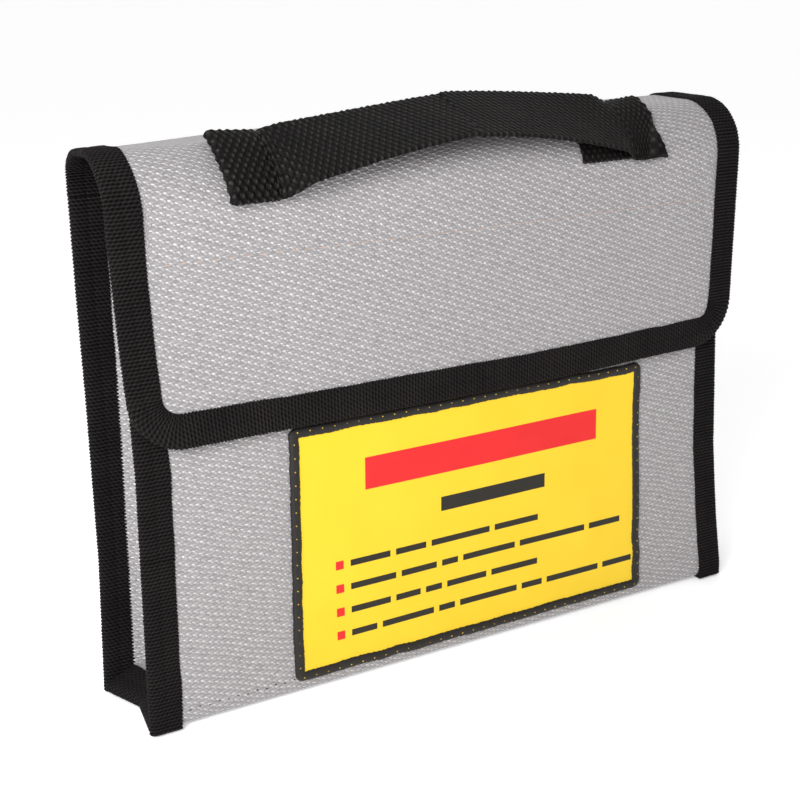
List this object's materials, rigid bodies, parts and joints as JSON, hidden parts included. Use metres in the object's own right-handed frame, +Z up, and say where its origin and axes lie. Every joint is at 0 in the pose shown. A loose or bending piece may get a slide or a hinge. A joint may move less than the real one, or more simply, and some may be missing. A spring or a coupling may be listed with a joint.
{
  "type": "fire-resistant battery storage and charging bag",
  "caption": "Flat document-style bag of coated cloth with bound edges, pleated end gussets, a fold-over hook-and-loop flap, a webbing handle and a plain label patch.",
  "frame": {"origin": "middle of the bag's underside, half way between the outer faces of its front and back bindings", "axes": "+X to the right as the label is seen, -Y out of the front, +Z up through the flap and handle"},
  "size_m": [0.215, 0.0461, 0.1744],
  "materials": {
    "coated_cloth": "silver-grey coated glass-fibre cloth with a basket weave and a soft sheen",
    "binding_tape": "matt black ribbed grosgrain tape",
    "webbing": "coarse matt black webbing",
    "label_cloth": null,
    "label_thread": "dense black overlock stitching",
    "loop_pile": "soft black loop pile",
    "hook_tape": "black woven tape with fine nylon hooks",
    "tan_thread": "fine tan aramid thread",
    "black_thread": "fine black thread"
  },
  "bodies": {
    "back": {"back_panel": "coated_cloth", "bottom_panel": "coated_cloth", "back_binding_left": "binding_tape", "back_binding_right": "binding_tape", "bottom_binding_left": "binding_tape", "bottom_binding_right": "binding_tape"},
    "front": {"front_panel": "coated_cloth", "front_binding_left": "binding_tape", "front_binding_right": "binding_tape", "mouth_binding_front": "binding_tape", "loop_strip": "loop_pile", "label_patch": "label_cloth", "label_border": "label_thread"},
    "left_rear_leaf": {"gusset_left_rear": "coated_cloth", "mouth_binding_left_rear": "binding_tape"},
    "left_front_leaf": {"gusset_left_front": "coated_cloth", "mouth_binding_left_front": "binding_tape"},
    "right_rear_leaf": {"gusset_right_rear": "coated_cloth", "mouth_binding_right_rear": "binding_tape"},
    "right_front_leaf": {"gusset_right_front": "coated_cloth", "mouth_binding_right_front": "binding_tape"},
    "flap_top": {"flap_top": "coated_cloth", "flap_binding_top_left": "binding_tape", "flap_binding_top_right": "binding_tape", "handle_tab_left": "webbing", "handle_tab_right": "webbing", "handle_neck_left": "webbing", "handle_neck_right": "webbing", "handle_seam_thread": "black_thread"},
    "flap_front": {"flap_front": "coated_cloth", "flap_binding_front": "binding_tape", "hook_strip": "hook_tape", "hook_seam_thread": "tan_thread"},
    "handle": {"handle_strap": "webbing"}
  },
  "joints": [
    {"name": "depth_collapse", "type": "slide", "parent": "back", "child": "front", "axis": [0, 1, 0], "range_m": [0, 0.023]},
    {"name": "left_rear_fold", "type": "hinge", "parent": "back", "child": "left_rear_leaf", "pos_m": [-0.097, 0.0137, 0.08], "axis": [0, 0, 1], "range_deg": [0, 38]},
    {"name": "left_crease", "type": "hinge", "parent": "left_rear_leaf", "child": "left_front_leaf", "pos_m": [-0.08243, 0, 0.08], "axis": [0, 0, 1], "range_deg": [-76, 0]},
    {"name": "right_rear_fold", "type": "hinge", "parent": "back", "child": "right_rear_leaf", "pos_m": [0.097, 0.0137, 0.08], "axis": [0, 0, 1], "range_deg": [-38, 0]},
    {"name": "right_crease", "type": "hinge", "parent": "right_rear_leaf", "child": "right_front_leaf", "pos_m": [0.08243, 0, 0.08], "axis": [0, 0, 1], "range_deg": [0, 76]},
    {"name": "flap_hinge", "type": "hinge", "parent": "back", "child": "flap_top", "pos_m": [0, 0.0182, 0.156], "axis": [-1, 0, 0], "range_deg": [0, 130]},
    {"name": "flap_fold", "type": "hinge", "parent": "flap_top", "child": "flap_front", "pos_m": [0, -0.0218, 0.146], "axis": [-1, 0, 0], "range_deg": [0, 85]},
    {"name": "handle_swing", "type": "hinge", "parent": "flap_top", "child": "handle", "pos_m": [0, -0.0175, 0.1605], "axis": [1, 0, 0], "range_deg": [-20, 45], "deforming": ["handle_neck_left", "handle_neck_right"]}
  ],
  "couplings": [
    {"joint": "left_rear_fold", "follows": "depth_collapse", "rad_per_m": 28.017},
    {"joint": "left_crease", "follows": "depth_collapse", "rad_per_m": -56.033},
    {"joint": "right_rear_fold", "follows": "depth_collapse", "rad_per_m": -28.017},
    {"joint": "right_crease", "follows": "depth_collapse", "rad_per_m": 56.033}
  ]
}
